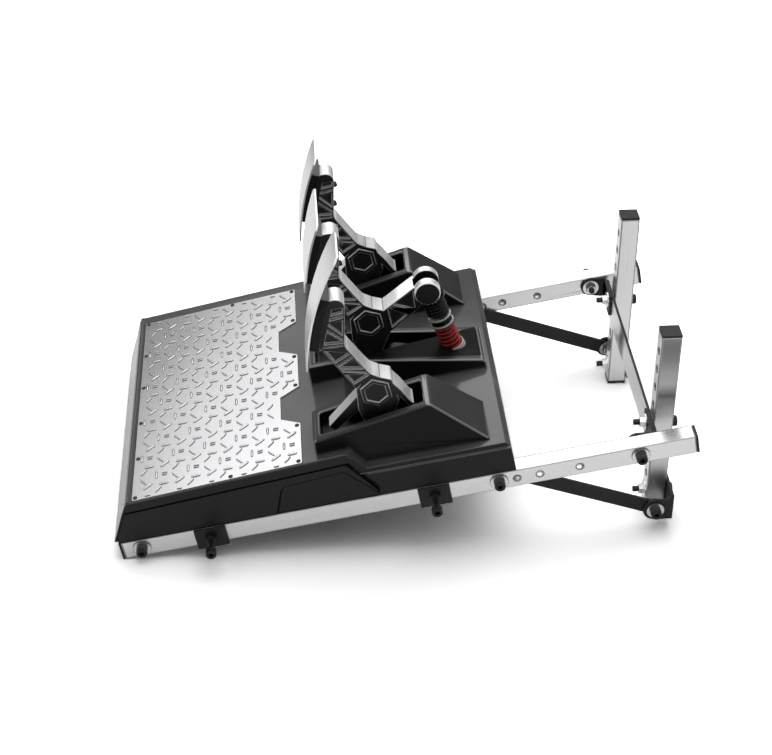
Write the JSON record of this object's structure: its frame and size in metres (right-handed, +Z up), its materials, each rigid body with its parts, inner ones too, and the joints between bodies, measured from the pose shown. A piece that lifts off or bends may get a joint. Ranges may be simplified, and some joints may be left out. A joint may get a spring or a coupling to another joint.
{
  "type": "three-pedal set on a tube stand",
  "caption": "Three-pedal driving set on an inclined stand of square steel tube, with an embossed heel plate and a spring stack behind the middle pedal.",
  "frame": {"origin": "on the floor, at the centre of the bounding box", "axes": "+X to the user's right (throttle side), +Y away from the user towards the posts, +Z up"},
  "size_m": [0.398, 0.5828, 0.3327],
  "materials": {
    "steel": "brushed, satin",
    "zinc": "bright zinc",
    "black_metal": "matt powder coat",
    "black_screw": "black oxide",
    "cap_plastic": "matt",
    "base_plastic": "satin",
    "panel_plastic": "fine grain",
    "heel_metal": "embossed, bright",
    "housing_plastic": "satin",
    "arm_metal": "satin cast",
    "pad_plastic": "matt",
    "face_metal": "brushed",
    "black_spring": "matt black",
    "red_spring": "gloss red",
    "pale_spacer": "satin",
    "beam_metal": "satin"
  },
  "bodies": {
    "stand": {"rail_right": "steel", "rail_left": "steel", "rail_caps": "cap_plastic", "post_right": "steel", "post_left": "steel", "post_caps": "cap_plastic", "crossbar": "steel", "upper_bracket_right": "black_metal", "upper_bracket_left": "black_metal", "lower_bracket_right": "black_metal", "lower_bracket_left": "black_metal", "brace_right": "black_metal", "brace_left": "black_metal", "rail_screws": "black_screw", "rail_washers": "zinc", "foot_screws": "black_screw", "foot_washers": "zinc", "post_bolts": "black_screw", "post_nuts": "zinc", "rail_clamps": "black_metal", "clamp_screws": "black_screw", "deck": "base_plastic", "side_panel_right": "panel_plastic", "side_panel_left": "panel_plastic", "heel_plate": "heel_metal", "throttle_housing": "housing_plastic", "clutch_housing": "housing_plastic", "brake_trough": "housing_plastic", "pivot_pins": "steel", "black_springs": "black_spring", "pale_spacers": "pale_spacer", "red_springs": "red_spring", "spring_cup": "pale_spacer", "guide_rod": "steel", "sensing_beam": "beam_metal"},
    "throttle_pedal": {"throttle_arm": "arm_metal", "throttle_pad": "pad_plastic", "throttle_plate": "face_metal"},
    "brake_pedal": {"brake_arm": "arm_metal", "brake_pad": "pad_plastic", "brake_plate": "face_metal", "stack_head": "zinc"},
    "clutch_pedal": {"clutch_arm": "arm_metal", "clutch_pad": "pad_plastic", "clutch_plate": "face_metal"}
  },
  "joints": [
    {"name": "throttle_hinge", "type": "hinge", "parent": "stand", "child": "throttle_pedal", "pos_m": [0.1235, -0.02484, 0.12834], "axis": [-1, 0, 0], "range_deg": [0, 14], "stiffness_Nm_per_rad": 10, "springref_deg": -8.59},
    {"name": "brake_hinge", "type": "hinge", "parent": "stand", "child": "brake_pedal", "pos_m": [0, -0.02484, 0.12834], "axis": [-1, 0, 0], "range_deg": [0, 7], "stiffness_Nm_per_rad": 400, "springref_deg": -1.15, "deforming": ["black_springs", "pale_spacers", "red_springs"]},
    {"name": "clutch_hinge", "type": "hinge", "parent": "stand", "child": "clutch_pedal", "pos_m": [-0.1235, -0.02484, 0.12834], "axis": [-1, 0, 0], "range_deg": [0, 14], "stiffness_Nm_per_rad": 16, "springref_deg": -10.31}
  ]
}
